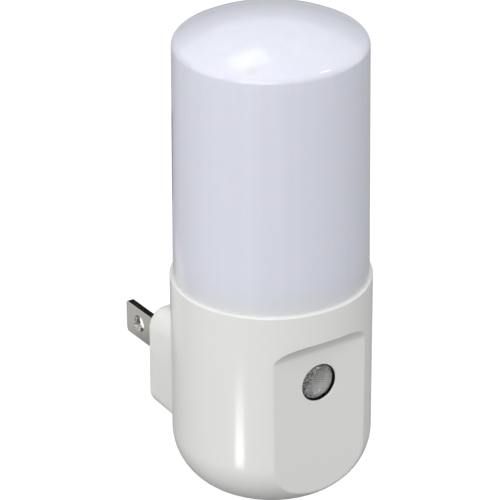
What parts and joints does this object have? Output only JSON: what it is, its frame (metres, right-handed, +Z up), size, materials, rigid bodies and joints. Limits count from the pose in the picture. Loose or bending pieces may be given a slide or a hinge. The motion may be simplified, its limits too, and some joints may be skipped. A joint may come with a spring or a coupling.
{
  "type": "plug in night light",
  "caption": "Plug in night light: domed frosted tube on a round white base with a flat front panel, a light sensor window and a two blade wall plug behind.",
  "frame": {"origin": "middle of the plug's seating face, midway between the two blades", "axes": "+Y into the wall along the blades, +Z up along the body, +X to the right seen from the front"},
  "size_m": [0.0364, 0.0571, 0.0916],
  "materials": {
    "base_white": "gloss",
    "diffuser_frost": "satin",
    "blade_metal": "satin",
    "clear_resin": "clear",
    "black_plastic": "matte",
    "cell_ceramic": "matte",
    "board": "satin",
    "led_board_white": "matte",
    "led_package": "matte",
    "screw_steel": "satin",
    "film_box": "satin",
    "can_sleeve": "gloss",
    "resistor_body": "satin",
    "fuse_body": "matte",
    "diode_glass": "gloss",
    "pin_metal": "satin",
    "wire_cover": "satin"
  },
  "bodies": {
    "root": {"base_housing": "base_white", "diffuser": "diffuser_frost", "plug_block": "base_white", "blade_left": "blade_metal", "blade_right": "blade_metal", "blade_retainer": "base_white", "retainer_screws": "screw_steel", "sensor_window": "clear_resin", "sensor_sleeve": "black_plastic", "photocell": "cell_ceramic", "photocell_legs": "pin_metal", "main_board": "board", "led_board": "led_board_white", "led_board_screws": "screw_steel", "leds": "led_package", "film_capacitor": "film_box", "electrolytic_capacitor": "can_sleeve", "bridge_rectifier": "black_plastic", "resistors": "resistor_body", "fusible_resistor": "fuse_body", "zener_diode": "diode_glass", "transistor": "black_plastic", "board_link": "black_plastic", "link_pins": "pin_metal", "lead_wire_left": "wire_cover", "lead_wire_right": "wire_cover"}
  },
  "joints": []
}
